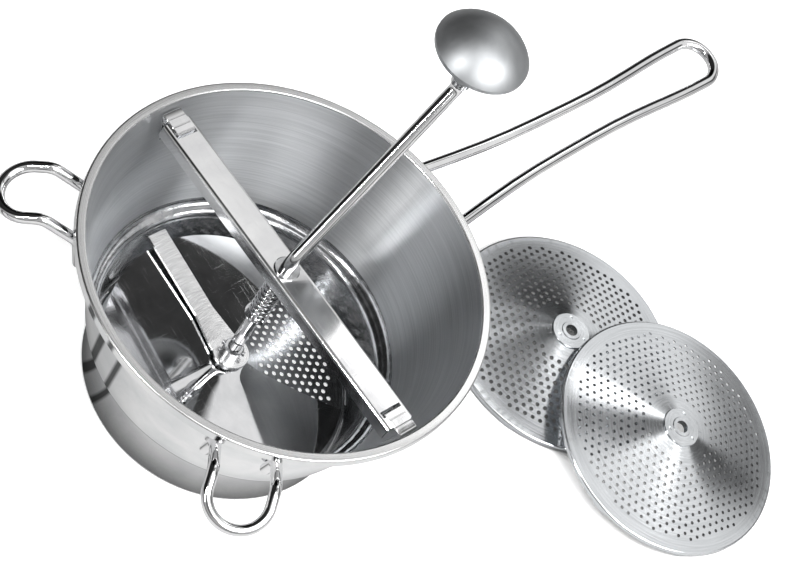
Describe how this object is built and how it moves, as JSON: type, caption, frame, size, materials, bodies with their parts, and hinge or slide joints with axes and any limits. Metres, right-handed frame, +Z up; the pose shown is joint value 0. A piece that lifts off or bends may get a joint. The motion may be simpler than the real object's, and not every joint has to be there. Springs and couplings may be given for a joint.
{
  "type": "tomato strainer with crank",
  "caption": "Hand-cranked steel tomato strainer: flared bowl with wire handles, sprung bridge, bent crank with knob, spiral blade over a domed sieve, and loose spare discs.",
  "frame": {"origin": "centre of the bowl's round outlet, on the plane that the bowl stands on", "axes": "+Z up along the bowl's axis, X along the bridge, +Y along the long handle"},
  "size_m": [0.3767, 0.4867, 0.27],
  "materials": {
    "brushed_steel": "brushed stainless steel inside, polished outside",
    "polished_steel": "mirror polished stainless steel",
    "satin_steel": "satin stainless steel sheet"
  },
  "bodies": {
    "mill": {"bowl": "brushed_steel", "long_handle": "polished_steel", "hook_left": "polished_steel", "hook_right": "polished_steel", "catch_left": "polished_steel", "catch_right": "polished_steel", "sieve_disc": "satin_steel", "sieve_disc_hub": "satin_steel", "sieve_disc_hub_ring": "satin_steel"},
    "bridge": {"bridge": "polished_steel", "bridge_bush": "polished_steel", "bridge_washer": "polished_steel", "spring": "polished_steel"},
    "thrust_washer": {"spring_seat": "polished_steel"},
    "crank": {"crank": "polished_steel", "spring_stop_pin": "polished_steel", "blade_hub": "polished_steel", "blade": "polished_steel", "blade_arm": "polished_steel", "hub_pin": "polished_steel", "knob_retainer": "polished_steel"},
    "knob": {"knob_bush": "polished_steel", "knob_base": "polished_steel", "knob_top": "polished_steel"},
    "coarse_disc": {"spare_coarse_disc": "satin_steel", "spare_coarse_disc_hub": "satin_steel", "spare_coarse_disc_hub_ring": "satin_steel"},
    "fine_disc": {"spare_fine_disc": "satin_steel", "spare_fine_disc_hub": "satin_steel", "spare_fine_disc_hub_ring": "satin_steel"}
  },
  "joints": [
    {"name": "bridge_press", "type": "slide", "parent": "mill", "child": "bridge", "axis": [0, 0, 1], "range_m": [-0.006, 0], "stiffness_N_per_m": 1200, "springref_m": 0.012, "deforming": ["spring"]},
    {"name": "blade_lift", "type": "slide", "parent": "mill", "child": "thrust_washer", "axis": [0, 0, 1], "range_m": [0, 0.005], "stiffness_N_per_m": 1200, "springref_m": -0.012, "deforming": ["spring"]},
    {"name": "crank_turn", "type": "hinge", "parent": "thrust_washer", "child": "crank", "pos_m": [0, 0, 0], "axis": [0, 0, 1], "continuous": true},
    {"name": "knob_spin", "type": "hinge", "parent": "crank", "child": "knob", "pos_m": [-0.01755, 0.09031, 0.24], "axis": [0, 0, 1], "continuous": true},
    {"name": "coarse_disc_lift", "type": "slide", "parent": "mill", "child": "coarse_disc", "axis": [0, 0, 1], "range_m": [0, 0.06]},
    {"name": "fine_disc_lift", "type": "slide", "parent": "coarse_disc", "child": "fine_disc", "axis": [0, 0, 1], "range_m": [0, 0.06]}
  ]
}
